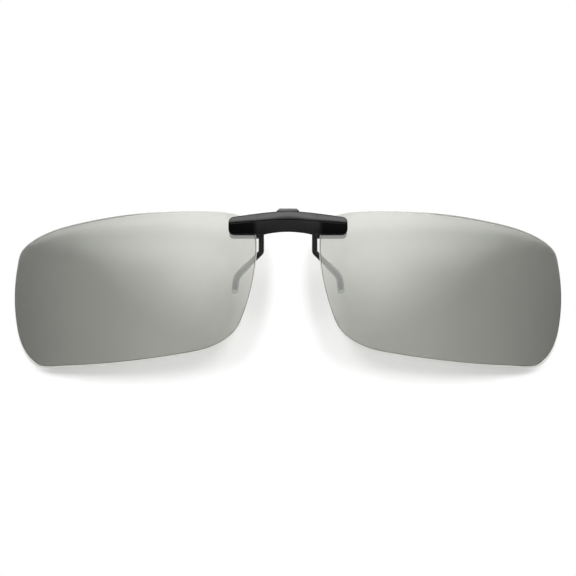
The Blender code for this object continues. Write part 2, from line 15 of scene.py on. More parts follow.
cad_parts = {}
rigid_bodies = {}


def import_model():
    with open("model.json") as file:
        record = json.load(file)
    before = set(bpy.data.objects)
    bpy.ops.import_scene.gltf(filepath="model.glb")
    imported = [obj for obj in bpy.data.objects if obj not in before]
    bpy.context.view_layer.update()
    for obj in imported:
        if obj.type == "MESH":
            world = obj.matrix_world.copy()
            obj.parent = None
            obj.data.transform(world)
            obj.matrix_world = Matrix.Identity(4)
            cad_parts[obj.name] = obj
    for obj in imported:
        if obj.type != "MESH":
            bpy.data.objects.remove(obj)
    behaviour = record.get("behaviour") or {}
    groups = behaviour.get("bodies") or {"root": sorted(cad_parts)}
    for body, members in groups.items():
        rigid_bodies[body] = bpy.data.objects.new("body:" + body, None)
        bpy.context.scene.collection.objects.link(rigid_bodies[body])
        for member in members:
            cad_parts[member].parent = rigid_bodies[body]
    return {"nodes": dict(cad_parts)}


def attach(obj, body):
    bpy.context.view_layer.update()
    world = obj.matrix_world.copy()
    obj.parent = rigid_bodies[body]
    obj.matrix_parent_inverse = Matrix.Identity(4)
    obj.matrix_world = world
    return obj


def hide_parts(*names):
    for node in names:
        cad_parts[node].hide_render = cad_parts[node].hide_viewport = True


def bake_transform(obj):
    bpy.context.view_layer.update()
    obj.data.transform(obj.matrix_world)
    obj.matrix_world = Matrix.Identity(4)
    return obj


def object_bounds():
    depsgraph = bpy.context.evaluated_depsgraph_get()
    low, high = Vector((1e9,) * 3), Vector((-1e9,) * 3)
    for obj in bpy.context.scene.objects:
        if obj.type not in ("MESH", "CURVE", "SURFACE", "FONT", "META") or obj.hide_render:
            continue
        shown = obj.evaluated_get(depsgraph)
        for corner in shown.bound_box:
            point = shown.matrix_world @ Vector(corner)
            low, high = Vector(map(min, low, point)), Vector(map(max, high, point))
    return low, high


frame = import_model()
cad_low, cad_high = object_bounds()

MM = 0.001
WHITE = (1.0, 1.0, 1.0, 1.0)

# Shared with the mechanical design, in millimetres.
LENS_RADIUS = 220.0
LENS_THICKNESS = 1.0
LENS_APEX = (9.5, 1.15, -15.3)
WIRE_RADIUS = 0.68
FRONT_CLAW_Y = 5.1
REAR_CLAW_Y = 7.5
CLAW_PATH = ((6.55, -0.2), (6.55, -6.45), (12.68, -12.45), (13.0, -15.5))
CLAW_BENDS = (1.0, 4.0)
SLEEVE_INNER = 0.74
SLEEVE_OUTER = 0.88
SLEEVE_START = 0.6
SLEEVE_TIP = 0.35
PIVOT_Y = 7.4
PIVOT_Z = 0.0
SPRING_WIRE = 0.25
SPRING_RADIUS = 1.15
SPRING_PITCH = 0.66
FIXED_LEG_ANGLE = 75.0
MOVING_LEG_ANGLE = -1260.0
FIXED_LEG_LENGTH = 3.15
MOVING_LEG_LENGTH = 3.0

# Finish of the lenses.
RIM_BEVEL = 0.24  # width of the polished bevel round the front, along the top
RIM_BELOW = 0.08  # what it gains along the bottom
RIM_CORNER = 0.28  # and at the lower outer corner
RIM_SIDE_LOSS = 0.17  # what it loses along the outer side
RIM_FOCUS = 6  # how closely the corner's and the side's share keep to their place
RIM_BEVEL_DEPTH = 0.3
RIM_STEP = (0.06, 0.08)  # inset and depth of the rounding between the bevel and the edge wall
BACK_BEVEL = (0.12, 0.14)  # inset and depth of the small bevel at the back
PAINTED_LINE_WIDTH = 0.14  # the thin dark line painted along the front edge: painted shade of the edge's refraction
LEAST_GAP = 0.05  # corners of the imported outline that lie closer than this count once
LENS_SHARP_ANGLE = 28.0  # in degrees

# Fineness of the round pieces.
WIRE_STEPS = 24
CAP_STEPS = 5
BEND_STEPS = 12
WIRE_CAP = 0.2
SLEEVE_LIP = 0.06
SLEEVE_TIP_STEPS = 8
SPRING_STEPS = 150
SPRING_ROUND_STEPS = 14
SPRING_CAP = 0.08


# ---------------------------------------------------------------- small geometry helpers


def new_piece(name, bm, material_list, body=None, smooth_degrees=40.0):
    """Links a bmesh drawn in millimetres as a piece in metres."""
    bmesh.ops.recalc_face_normals(bm, faces=bm.faces)
    bmesh.ops.scale(bm, verts=bm.verts, vec=(MM, MM, MM))
    mesh = bpy.data.meshes.new(name)
    bm.to_mesh(mesh)
    bm.free()
    mesh.shade_smooth()
    mesh.set_sharp_from_angle(angle=math.radians(smooth_degrees))
    for material in material_list:
        mesh.materials.append(material)
    obj = bpy.data.objects.new(name, mesh)
    bpy.context.scene.collection.objects.link(obj)
    if body:
        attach(obj, body)
    return obj


def loft(sections):
    """A closed skin over a row of loops that all have the same number of points."""
    bm = bmesh.new()
    loops = [[bm.verts.new(point) for point in section] for section in sections]
    for lower, upper in zip(loops, loops[1:]):
        for i in range(len(lower)):
            j = (i + 1) % len(lower)
            bm.faces.new((lower[i], lower[j], upper[j], upper[i]))
    bm.faces.new(list(reversed(loops[0])))
    bm.faces.new(loops[-1])
    return bm


def circle_frames(path):
    """For each point of the path: the point, two directions across it and the one along it."""
    frames = []
    side = None
    for i, point in enumerate(path):
        along = (path[min(i + 1, len(path) - 1)] - path[max(i - 1, 0)]).normalized()
        side = along.orthogonal() if side is None else side
        side = (side - along * side.dot(along)).normalized()
        frames.append((point, side, along.cross(side), along))
    return frames


def ring(centre, side, up, radius, steps):
    turns = (math.tau * k / steps for k in range(steps))
    return [centre + (side * math.cos(t) + up * math.sin(t)) * radius for t in turns]


def swept(path, radius, steps, cap_rounding):
    """A round wire along the path, its two ends rounded over by cap_rounding."""
    frames = circle_frames(path)
    sections = [ring(point, side, up, radius, steps) for point, side, up, _ in frames]
    for end, sign in ((0, -1.0), (-1, 1.0)):
        point, side, up, along = frames[end]
        extra = []
        for k in range(1, CAP_STEPS):
            turn = math.pi / 2 * k / CAP_STEPS
            reach = along * (sign * cap_rounding * math.sin(turn))
            inner = radius - cap_rounding * (1.0 - math.cos(turn))
            extra.append(ring(point + reach, side, up, inner, steps))
        sections = extra[::-1] + sections if end == 0 else sections + extra
    return loft(sections)


def rounded_path(corners, radii):
    """The path through the corners with each inner corner rounded to its radius."""
    path = [corners[0]]
    for before, corner, after, radius in zip(corners, corners[1:], corners[2:], radii):
        back = (before - corner).normalized()
        ahead = (after - corner).normalized()
        half = back.angle(ahead) / 2
        run = radius / math.tan(half)
        centre = corner + (back + ahead).normalized() * (radius / math.sin(half))
        first = corner + back * run - centre
        last = corner + ahead * run - centre
        turn = first.angle(last)
        for k in range(BEND_STEPS + 1):
            share = k / BEND_STEPS
            arc = first * (math.sin((1 - share) * turn) / math.sin(turn))
            path.append(centre + arc + last * (math.sin(share * turn) / math.sin(turn)))
    path.append(corners[-1])
    return path


def path_from(path, share):
    """The rest of the path, from the given share of its length on."""
    lengths = [(b - a).length for a, b in zip(path, path[1:])]
    skip = share * sum(lengths)
    for i, length in enumerate(lengths):
        if skip < length:
            return [path[i].lerp(path[i + 1], skip / length), *path[i + 1 :]]
        skip -= length
    return path[-2:]


def closed_spline(points, steps):
    """A smooth closed curve through the points, with steps pieces to each gap."""
    curve = []
    count = len(points)
    for i in range(count):
        before, start, end, after = (points[(i + k) % count] for k in (-1, 0, 1, 2))
        near = (start - before).length
        gap = (end - start).length
        far = (after - end).length
        leave = ((start - before) / near * gap + (end - start) / gap * near) / (near + gap) * gap
        arrive = ((end - start) / gap * far + (after - end) / far * gap) / (gap + far) * gap
        for k in range(steps):
            t = k / steps
            curve.append(
                start * (2 * t**3 - 3 * t**2 + 1)
                + leave * (t**3 - 2 * t**2 + t)
                + end * (3 * t**2 - 2 * t**3)
                + arrive * (t**3 - t**2)
            )
    return curve


# ---------------------------------------------------------------- node helpers


class Nodes:
    """A short way to build a node tree: each call adds a node, sets its inputs and returns its output."""

    def __init__(self, tree):
        self.tree = tree

    def add(self, kind, inputs=None, output=0, **settings):
        node = self.tree.nodes.new(kind)
        for name, value in settings.items():
            setattr(node, name, value)
        for name, value in (inputs or {}).items():
            self.feed(node.inputs[name], value)
        return node.outputs[output]

    def feed(self, socket, value):
        if isinstance(value, bpy.types.NodeSocket):
            self.tree.links.new(value, socket)
        else:
            socket.default_value = value

    def maths(self, operation, first, second=0.0, clamp=False):
        return self.add("ShaderNodeMath", {0: first, 1: second}, operation=operation, use_clamp=clamp)

    def smooth(self, value, low, high, out_low=0.0, out_high=1.0):
        inputs = {"Value": value, "From Min": low, "From Max": high, "To Min": out_low, "To Max": out_high}
        return self.add("ShaderNodeMapRange", inputs, interpolation_type="SMOOTHSTEP")

    def blend(self, share, first, second):
        return self.add("ShaderNodeMix", {"Factor": share, "A": first, "B": second})

    def noise(self, scale, detail=3.0, vector=None):
        inputs = {"Scale": scale, "Detail": detail, "Vector": vector or self.place()}
        return self.add("ShaderNodeTexNoise", inputs)

    def place(self):
        return self.add("ShaderNodeTexCoord", output="Object")

    def across(self, axis, kind="Object"):
        """One coordinate of the place on the object, or of the surface's normal."""
        vector = self.add("ShaderNodeTexCoord", output=kind)
        return self.add("ShaderNodeSeparateXYZ", {"Vector": vector}, output=axis)

    def mix_colour(self, share, first, second):
        node = self.tree.nodes.new("ShaderNodeMix")
        node.data_type = "RGBA"
        inputs = {"Factor_Float": share, "A_Color": first, "B_Color": second}
        for socket in node.inputs:
            if socket.identifier in inputs:
                self.feed(socket, inputs[socket.identifier])
        return next(socket for socket in node.outputs if socket.type == "RGBA")

    def bump(self, height, distance, strength):
        return self.add("ShaderNodeBump", {"Height": height, "Distance": distance, "Strength": strength})


def new_material(name):
    material = bpy.data.materials.new(name)
    material.use_nodes = True
    tree = material.node_tree
    tree.nodes.clear()
    output = tree.nodes.new("ShaderNodeOutputMaterial")
    return material, Nodes(tree), output


def finish_material(nodes, output, surface):
    nodes.tree.links.new(surface, output.inputs["Surface"])


def colour(value, warmth=0.0):
    return (value * (1 + warmth), value, value * (1 - warmth), 1.0)


# ---------------------------------------------------------------- materials

PAD_FROM = 7.0 * MM  # where the cover's middle gives way to its pads
PAD_TO = 8.9 * MM
CREASE_MIDDLE = 1.46 * MM  # height of the cover's crease, and how it falls away to the ends
CREASE_DROP = 0.85 * MM
DROP_AT = 13.5 * MM
DROP_POWER = 1.45
SHADE_ABOVE = (1.35 * MM, 0.8 * MM)  # how far the crease's painted shade reaches up, in the middle and outside
SHADE_BELOW = 0.45 * MM
TOP_MIDDLE = 3.65 * MM  # height of the cover's top edge, and how it falls away to the ends
TOP_DROP = 1.5 * MM
TOP_SHADE = 0.42 * MM  # how far the painted shade of the top edge reaches down


def cover_shades(nodes):
    """How much of each place is pad, and how much gloss the painted shade in the crease and along the top
    edge leaves it.
    """
    off_middle = nodes.maths("ABSOLUTE", nodes.across("X"))
    outside = nodes.smooth(off_middle, PAD_FROM, PAD_TO)
    forward = nodes.smooth(nodes.across("Y", "Normal"), -0.96, -0.85, 1.0, 0.0)
    on_pad = nodes.maths("MULTIPLY", outside, forward)
    fall = nodes.maths("POWER", nodes.maths("DIVIDE", off_middle, DROP_AT), DROP_POWER)
    crease = nodes.maths("SUBTRACT", CREASE_MIDDLE, nodes.maths("MULTIPLY", fall, CREASE_DROP))
    over = nodes.maths("SUBTRACT", nodes.across("Z"), crease)
    # Painted shade in the crease: the gloss falls to nothing at the crease from above and below.
    above = nodes.smooth(over, 0.0, nodes.smooth(off_middle, 0.0, PAD_FROM, *SHADE_ABOVE))
    below = nodes.smooth(over, -SHADE_BELOW, 0.0, 1.0, 0.0)
    # Painted shade along the top edge: the gloss falls off just under it.
    top = nodes.maths("SUBTRACT", TOP_MIDDLE, nodes.maths("MULTIPLY", fall, TOP_DROP))
    edge = nodes.smooth(nodes.maths("SUBTRACT", top, nodes.across("Z")), 0.0, TOP_SHADE, 0.3, 1.0)
    return on_pad, nodes.maths("MULTIPLY", nodes.maths("MAXIMUM", above, below), edge)


def moulded_plastic(name, base, roughness, gloss=0.36, pads_with_painted_shade=False):
    """Satin black moulding with a fine spark-eroded grain; on the cover, the pads get painted shade, a darker
    colour and less gloss.
    """
    material, nodes, output = new_material(name)
    fine = nodes.noise(9000.0, 2.0)
    broad = nodes.noise(260.0, 3.0)
    rough = nodes.smooth(broad, 0.3, 0.7, roughness - 0.04, roughness + 0.05)
    tone = nodes.mix_colour(nodes.smooth(broad, 0.35, 0.65), colour(base), colour(base * 1.35, 0.01))
    if pads_with_painted_shade:
        # Painted shade: the pads are darkened and dulled for the shade of their outward tilt, and the crease
        # and top edge lose gloss.
        on_pad, gloss_under_painted_shade = cover_shades(nodes)
        gloss = nodes.maths("MULTIPLY", nodes.smooth(on_pad, 0.0, 1.0, gloss, 0.07), gloss_under_painted_shade)
        tone = nodes.mix_colour(on_pad, tone, colour(base * 0.28))
    shader = nodes.add(
        "ShaderNodeBsdfPrincipled",
        {
            "Base Color": tone,
            "Roughness": rough,
            "Specular IOR Level": gloss,
            "Normal": nodes.bump(fine, 0.004 * MM, 0.6),
        },
    )
    finish_material(nodes, output, shader)
    return material


def coated_wire():
    material, nodes, output = new_material("black_coated_wire")
    speckle = nodes.noise(5200.0, 3.0)
    broad = nodes.noise(420.0, 2.0)
    shader = nodes.add(
        "ShaderNodeBsdfPrincipled",
        {
            "Base Color": nodes.mix_colour(broad, colour(0.006), colour(0.011)),
            "Roughness": nodes.smooth(broad, 0.3, 0.7, 0.28, 0.4),
            "Specular IOR Level": 0.45,
            "Coat Weight": 0.25,
            "Coat Roughness": 0.2,
            "Normal": nodes.bump(speckle, 0.004 * MM, 0.5),
        },
    )
    finish_material(nodes, output, shader)
    return material


def steel():
    """Bright drawn steel, with fine lines along the drawing direction and faint stains."""
    material, nodes, output = new_material("stainless_steel")
    stretch = {"Vector": nodes.place(), "Scale": (0.06, 1.0, 1.0)}
    stretched = nodes.add("ShaderNodeMapping", stretch, vector_type="POINT")
    lines = nodes.noise(16000.0, 2.0, vector=stretched)
    stain = nodes.noise(700.0, 3.0)
    shader = nodes.add(
        "ShaderNodeBsdfPrincipled",
        {
            "Base Color": nodes.mix_colour(stain, colour(0.55, 0.01), colour(0.68, 0.015)),
            "Metallic": 1.0,
            "Roughness": nodes.smooth(lines, 0.3, 0.7, 0.2, 0.34),
            "Normal": nodes.bump(lines, 0.003 * MM, 0.4),
        },
    )
    finish_material(nodes, output, shader)
    return material


def nylon():
    material, nodes, output = new_material("natural_nylon")
    mottle = nodes.noise(900.0, 3.0)
    shader = nodes.add(
        "ShaderNodeBsdfPrincipled",
        {
            "Base Color": nodes.mix_colour(mottle, (0.7, 0.68, 0.62, 1.0), (0.8, 0.79, 0.74, 1.0)),
            "Roughness": nodes.smooth(mottle, 0.3, 0.7, 0.4, 0.52),
            "Subsurface Weight": 0.2,
            "Subsurface Radius": (0.5 * MM, 0.4 * MM, 0.3 * MM),
        },
    )
    finish_material(nodes, output, shader)
    return material


def clear_silicone():
    """Clear sleeve: it mostly lets light through and shows as soft glints and a milky outline."""
    material, nodes, output = new_material("clear_silicone")
    haze = nodes.noise(1500.0, 3.0)
    facing = nodes.add("ShaderNodeLayerWeight", {"Blend": 0.32}, output="Facing")
    solid = nodes.smooth(facing, 0.15, 1.0, 0.12, 0.6)
    body = nodes.add(
        "ShaderNodeBsdfPrincipled",
        {
            "Base Color": nodes.mix_colour(haze, (0.78, 0.8, 0.8, 1.0), (0.88, 0.9, 0.9, 1.0)),
            "Roughness": nodes.smooth(haze, 0.3, 0.7, 0.12, 0.24),
            "Specular IOR Level": 0.6,
        },
    )
    through = nodes.add("ShaderNodeBsdfTransparent", {"Color": (0.93, 0.94, 0.94, 1.0)})
    finish_material(nodes, output, nodes.add("ShaderNodeMixShader", {0: solid, 1: through, 2: body}))
    return material


COAT_SHARE = 0.42  # how much of the light the mirror coat throws back
COAT_SHARE_INSIDE = 0.14
TINT_LIGHT = (0.865, 0.87, 0.832, 1.0)  # beside the nose
TINT_WITH_PAINTED_SHADE = (0.35, 0.355, 0.327, 1.0)  # towards the temples, deepened by painted shade
SHADOW_TINT = (0.48, 0.48, 0.47, 1.0)  # what is left of direct light behind the lens
NOSE_SHADOW_TINT = (0.04, 0.04, 0.04, 1.0)  # the same beside the nose, where the shadow is deepest
BACK_TINT = (0.4, 0.405, 0.385, 1.0)  # seen from the wearer's side, where the eye looks out of the dark
# Painted shade: the tint deepens between these, for the lens's shadow on the table, which lies closer towards
# the temples.
PAINTED_SHADE_FROM = 21 * MM
PAINTED_SHADE_TO = 68 * MM
INNER_PAINTED_SHADE = 0.42  # painted shade: the tint also deepens a little at the inner edge, for the table's shadow behind it
INNER_FROM = 10 * MM
INNER_TO = 17 * MM
NOSE_NEAR = 12 * MM  # the deep shadow is full closer to the middle than this
NOSE_FAR = 18 * MM  # and gone beyond this
NOSE_HEIGHTS = (-21 * MM, -13 * MM, -8 * MM, -3 * MM)  # it starts, is full, is still full and is gone


def shadow_tint(nodes, across):
    """What is left of direct light behind each place of the lens."""
    low, full_from, full_to, high = NOSE_HEIGHTS
    beside_nose = nodes.smooth(across, NOSE_NEAR, NOSE_FAR, 1.0, 0.0)
    below_bridge = nodes.smooth(nodes.across("Z"), full_to, high, 1.0, 0.0)
    above_corner = nodes.smooth(nodes.across("Z"), low, full_from)
    deepest = nodes.maths("MULTIPLY", beside_nose, nodes.maths("MULTIPLY", below_bridge, above_corner))
    return nodes.mix_colour(deepest, SHADOW_TINT, NOSE_SHADOW_TINT)


def lens_coat():
    """Front of the lens: a silver mirror coat over a grey tint; its deepening towards the temples and at the
    inner edge is painted shade for the lens's shadow on the table behind.
    """
    material, nodes, output = new_material("lens_mirror_coat")
    cloud = nodes.noise(40.0, 2.0)
    across = nodes.maths("ABSOLUTE", nodes.across("X"))
    inner_painted_shade = nodes.smooth(across, INNER_FROM, INNER_TO, INNER_PAINTED_SHADE, 0.0)
    painted_shade_deepening = nodes.maths("ADD", nodes.smooth(across, PAINTED_SHADE_FROM, PAINTED_SHADE_TO), inner_painted_shade)
    varied = nodes.maths("ADD", painted_shade_deepening, nodes.smooth(cloud, 0.3, 0.7, -0.012, 0.012), clamp=True)
    tint = nodes.mix_colour(varied, TINT_LIGHT, TINT_WITH_PAINTED_SHADE)
    path = nodes.tree.nodes.new("ShaderNodeLightPath")
    tint = nodes.mix_colour(path.outputs["Is Shadow Ray"], tint, shadow_tint(nodes, across))
    inside = nodes.add("ShaderNodeNewGeometry", output="Backfacing")
    from_behind = nodes.maths("MULTIPLY", inside, path.outputs["Is Camera Ray"])
    tint = nodes.mix_colour(from_behind, tint, BACK_TINT)
    through = nodes.add("ShaderNodeBsdfTransparent", {"Color": tint})
    rough = nodes.smooth(cloud, 0.3, 0.7, 0.03, 0.04)
    mirror = nodes.add("ShaderNodeBsdfAnisotropic", {"Color": (0.985, 1.0, 0.965, 1.0), "Roughness": rough})
    share = nodes.smooth(inside, 0.0, 1.0, COAT_SHARE, COAT_SHARE_INSIDE)
    finish_material(nodes, output, nodes.add("ShaderNodeMixShader", {0: share, 1: through, 2: mirror}))
    return material


def lens_inside():
    """Back of the lens: clear, with the small reflection of an uncoated surface."""
    material, nodes, output = new_material("lens_inside")
    cloud = nodes.noise(55.0, 2.0)
    facing = nodes.add("ShaderNodeLayerWeight", {"Blend": 0.5}, output="Facing")
    glancing = nodes.smooth(facing, 0.35, 1.0, 0.024, 0.5)
    share = nodes.maths("MULTIPLY", glancing, nodes.smooth(cloud, 0.3, 0.7, 0.9, 1.0))
    through = nodes.add("ShaderNodeBsdfTransparent", {"Color": (0.985, 0.985, 0.98, 1.0)})
    sheen = nodes.add("ShaderNodeBsdfAnisotropic", {"Color": WHITE, "Roughness": 0.04})
    finish_material(nodes, output, nodes.add("ShaderNodeMixShader", {0: share, 1: through, 2: sheen}))
    return material


FAINT_BELOW = -3.0 * MM  # the rim is faint on top beside the bridge: above this height
FAINT_ABOVE = 1.0 * MM
FAINT_NEAR = 28 * MM  # and closer to the middle than this
FAINT_FAR = 42 * MM
# Strength of the painted glow along the rim's lower side.
RIM_PAINTED_GLOW = 0.18


def faint_stretch(nodes):
    """One along the top of the lens beside the bridge, and zero elsewhere."""
    high = nodes.smooth(nodes.across("Z"), FAINT_BELOW, FAINT_ABOVE)
    near = nodes.smooth(nodes.maths("ABSOLUTE", nodes.across("X")), FAINT_NEAR, FAINT_FAR, 1.0, 0.0)
    return nodes.maths("MULTIPLY", high, near)


def lens_rim():
    """Polished edge with painted light: its lower side is pale and glows as if it gathered the tent's light,
    and its upper side is a grey painted shade.
    """
    material, nodes, output = new_material("lens_polished_rim")
    streak = nodes.noise(1300.0, 3.0)
    # Painted light below and painted shade above, by the way the rim faces.
    facing_up = nodes.smooth(nodes.across("Z", "Normal"), -0.25, 0.35)
    painted_light_pale = nodes.mix_colour(streak, (0.78, 0.755, 0.715, 1.0), (0.88, 0.855, 0.815, 1.0))
    painted_shade_grey = nodes.mix_colour(streak, (0.2, 0.2, 0.19, 1.0), (0.25, 0.25, 0.24, 1.0))
    painted_shade_grey = nodes.mix_colour(nodes.maths("MULTIPLY", faint_stretch(nodes), 0.7), painted_shade_grey, painted_light_pale)
    body = nodes.add(
        "ShaderNodeBsdfPrincipled",
        {
            "Base Color": nodes.mix_colour(facing_up, painted_light_pale, painted_shade_grey),
            "Roughness": nodes.smooth(streak, 0.3, 0.7, 0.12, 0.25),
            "Specular IOR Level": 0.5,
            "Emission Color": (1.0, 0.96, 0.9, 1.0),
            "Emission Strength": nodes.smooth(facing_up, 0.0, 0.4, RIM_PAINTED_GLOW, 0.0),
        },
    )
    through = nodes.add("ShaderNodeBsdfTransparent", {"Color": (0.96, 0.955, 0.94, 1.0)})
    finish_material(nodes, output, nodes.add("ShaderNodeMixShader", {0: 0.72, 1: through, 2: body}))
    return material


def lens_edge_painted_line():
    """The thin dark line along the front edge: painted shade of the edge's refraction."""
    material, nodes, output = new_material("lens_edge_painted_shade")
    streak = nodes.noise(1300.0, 3.0)
    body = nodes.add(
        "ShaderNodeBsdfPrincipled",
        {
            "Base Color": nodes.mix_colour(streak, (0.05, 0.05, 0.046, 1.0), (0.08, 0.08, 0.075, 1.0)),
            "Roughness": nodes.smooth(streak, 0.3, 0.7, 0.3, 0.45),
        },
    )
    # Beside the bridge the painted line is fainter.
    faint = faint_stretch(nodes)
    tint = nodes.mix_colour(faint, (0.3, 0.3, 0.28, 1.0), (0.75, 0.75, 0.73, 1.0))
    through = nodes.add("ShaderNodeBsdfTransparent", {"Color": tint})
    share = nodes.smooth(faint, 0.0, 1.0, 0.7, 0.3)
    finish_material(nodes, output, nodes.add("ShaderNodeMixShader", {0: share, 1: through, 2: body}))
    return material


# ---------------------------------------------------------------- lenses


def lens_surface(x, z, depth=0.0):
    apex_x, apex_y, apex_z = LENS_APEX
    across = abs(x) - apex_x
    up = z - apex_z
    return apex_y + LENS_RADIUS - math.sqrt((LENS_RADIUS - depth) ** 2 - across**2 - up**2)


def lens_outline(node):
    """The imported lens's outline in millimetres, smoothed. It is convex, so the hull of its points is it."""
    points = [Vector((v.co.x, v.co.z)) / MM for v in frame["nodes"][node].data.vertices]
    hull = [points[i] for i in convex_hull_2d(points)]
    spaced = [p for p, q in zip(hull, hull[1:] + hull[:1]) if (p - q).length > LEAST_GAP]
    return closed_spline(spaced, 4)


def inwards(outline):
    """The direction into the lens at each point of an outline that runs anticlockwise."""
    count = len(outline)
    steps = [outline[(i + 1) % count] - outline[i - 1] for i in range(count)]
    return [Vector((-step.y, step.x)).normalized() for step in steps]


def inset(outline, distances):
    return [point + way * distance for point, way, distance in zip(outline, inwards(outline), distances)]


def rim_widths(outline, side):
    """Widest at the lower outer corner, narrowest along the outer side."""
    corner = Vector((-side, 1.0)).normalized()
    widths = []
    for way in inwards(outline):
        below = RIM_BELOW * max(0.0, way.y)
        at_corner = RIM_CORNER * max(0.0, way.dot(corner)) ** RIM_FOCUS
        at_side = RIM_SIDE_LOSS * max(0.0, -side * way.x) ** RIM_FOCUS
        widths.append(RIM_BEVEL + below + at_corner - at_side)
    return widths


LENS_RING_SHARES = (0.985, 0.95, 0.88, 0.76, 0.6, 0.42, 0.22)
COAT_SLOT, RIM_SLOT, PAINTED_LINE_SLOT, INSIDE_SLOT = range(4)  # the lens's materials in their order


def build_lens(name, node, material_list):
    """Front, polished bevel, edge wall and back as rings of one closed mesh."""
    outline = lens_outline(node)
    area = sum(p.x * q.y - q.x * p.y for p, q in zip(outline, outline[1:] + outline[:1]))
    if area < 0:
        outline.reverse()
    centre = sum(outline, Vector((0.0, 0.0))) / len(outline)
    widths = rim_widths(outline, 1 if centre.x > 0 else -1)
    face = inset(outline, widths)
    coat = inset(outline, [width + PAINTED_LINE_WIDTH for width in widths])
    bm = bmesh.new()

    def make_ring(points, depth):
        return [bm.verts.new((p.x, lens_surface(p.x, p.y, depth), p.y)) for p in points]

    def shrunk(points, share):
        return [centre.lerp(p, share) for p in points]

    front = [make_ring(shrunk(coat, share), 0.0) for share in reversed(LENS_RING_SHARES)]
    rings = [*front, make_ring(coat, 0.0), make_ring(face, 0.0)]
    rings.append(make_ring(inset(outline, [RIM_STEP[0]] * len(outline)), RIM_BEVEL_DEPTH))
    rings.append(make_ring(outline, RIM_BEVEL_DEPTH + RIM_STEP[1]))
    rings.append(make_ring(outline, LENS_THICKNESS - BACK_BEVEL[1]))
    rings.append(make_ring(inset(outline, [BACK_BEVEL[0]] * len(outline)), LENS_THICKNESS))
    back = [make_ring(shrunk(face, share), LENS_THICKNESS) for share in LENS_RING_SHARES]
    slots = [COAT_SLOT] * len(front) + [PAINTED_LINE_SLOT] + [RIM_SLOT] * 4 + [INSIDE_SLOT] * len(back)
    rings += back
    for (inner, outer), slot in zip(zip(rings, rings[1:]), slots):
        for i in range(len(inner)):
            j = (i + 1) % len(inner)
            bm.faces.new((inner[i], inner[j], outer[j], outer[i])).material_index = slot
    bm.faces.new(rings[0]).material_index = COAT_SLOT
    bm.faces.new(list(reversed(rings[-1]))).material_index = INSIDE_SLOT
    lens = new_piece(name, bm, material_list, "bridge", LENS_SHARP_ANGLE)
    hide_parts(node)


# ---------------------------------------------------------------- wire, sleeves and spring


def claw_path(side, y):
    corners = [Vector((side * x, y, z)) for x, z in CLAW_PATH]
    return rounded_path(corners, CLAW_BENDS)


def build_sleeve(path):
    """A tube over the end of the claw, closed by a round tip, with a small rounded lip where it starts."""
    frames = circle_frames(path_from(path, SLEEVE_START))
    inner = [ring(p, s, u, SLEEVE_INNER, WIRE_STEPS) for p, s, u, _ in frames]
    outer = [ring(p, s, u, SLEEVE_OUTER, WIRE_STEPS) for p, s, u, _ in frames]
    point, side, up, along = frames[0]
    lip = [
        ring(point - along * SLEEVE_LIP, side, up, radius, WIRE_STEPS)
        for radius in (SLEEVE_INNER + SLEEVE_LIP, SLEEVE_OUTER - SLEEVE_LIP)
    ]
    point, side, up, along = frames[-1]
    inner.append(ring(point + along * SLEEVE_TIP / 2, side, up, SLEEVE_INNER, WIRE_STEPS))
    for k in range(SLEEVE_TIP_STEPS):
        turn = math.pi / 2 * k / SLEEVE_TIP_STEPS
        reach = SLEEVE_TIP + SLEEVE_OUTER * math.sin(turn)
        outer.append(ring(point + along * reach, side, up, SLEEVE_OUTER * math.cos(turn), WIRE_STEPS))
    return loft([*reversed(inner), *lip, *outer])


def build_claws(wire, silicone):
    for side, tag in ((1, "left"), (-1, "right")):
        for row, y, body in (("front", FRONT_CLAW_Y, "bridge"), ("rear", REAR_CLAW_Y, "jaw")):
            path = claw_path(side, y)
            mesh = swept(path, WIRE_RADIUS, WIRE_STEPS, WIRE_CAP)
            claw = new_piece(f"{row}_claw_wire_{tag}", mesh, [wire], body)
            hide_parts(f"{row}_claw_{tag}")
            sleeve = new_piece(f"{row}_sleeve_{tag}", build_sleeve(path), [silicone], body)
            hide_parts(f"{row}_claw_sleeve_{tag}")


def spring_path():
    first = math.radians(FIXED_LEG_ANGLE)
    last = math.radians(MOVING_LEG_ANGLE)
    width = SPRING_PITCH * (first - last) / math.tau

    def on_coil(angle):
        x = width * ((first - angle) / (first - last) - 0.5)
        y = PIVOT_Y + SPRING_RADIUS * math.cos(angle)
        return Vector((x, y, PIVOT_Z + SPRING_RADIUS * math.sin(angle)))

    def way(angle):
        return Vector((0.0, math.sin(angle), -math.cos(angle)))

    coil = [on_coil(first + (last - first) * k / SPRING_STEPS) for k in range(SPRING_STEPS + 1)]
    fixed_tip = coil[0] - way(first) * FIXED_LEG_LENGTH
    moving_tip = coil[-1] + way(last) * MOVING_LEG_LENGTH
    return [fixed_tip, *coil, moving_tip]


def build_spring(material):
    path = spring_path()
    mesh = swept(path, SPRING_WIRE, SPRING_ROUND_STEPS, SPRING_CAP)
    spring = new_piece("clamp_spring", mesh, [material])
    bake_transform(spring)
    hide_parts("torsion_spring")


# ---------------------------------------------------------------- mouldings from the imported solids

WELD_DISTANCE = 1e-6  # in metres
FLAT_ANGLE = 1.0  # faces within this angle are one flat, in degrees
EDGE_ANGLE = 32.0  # edges sharper than this are rounded


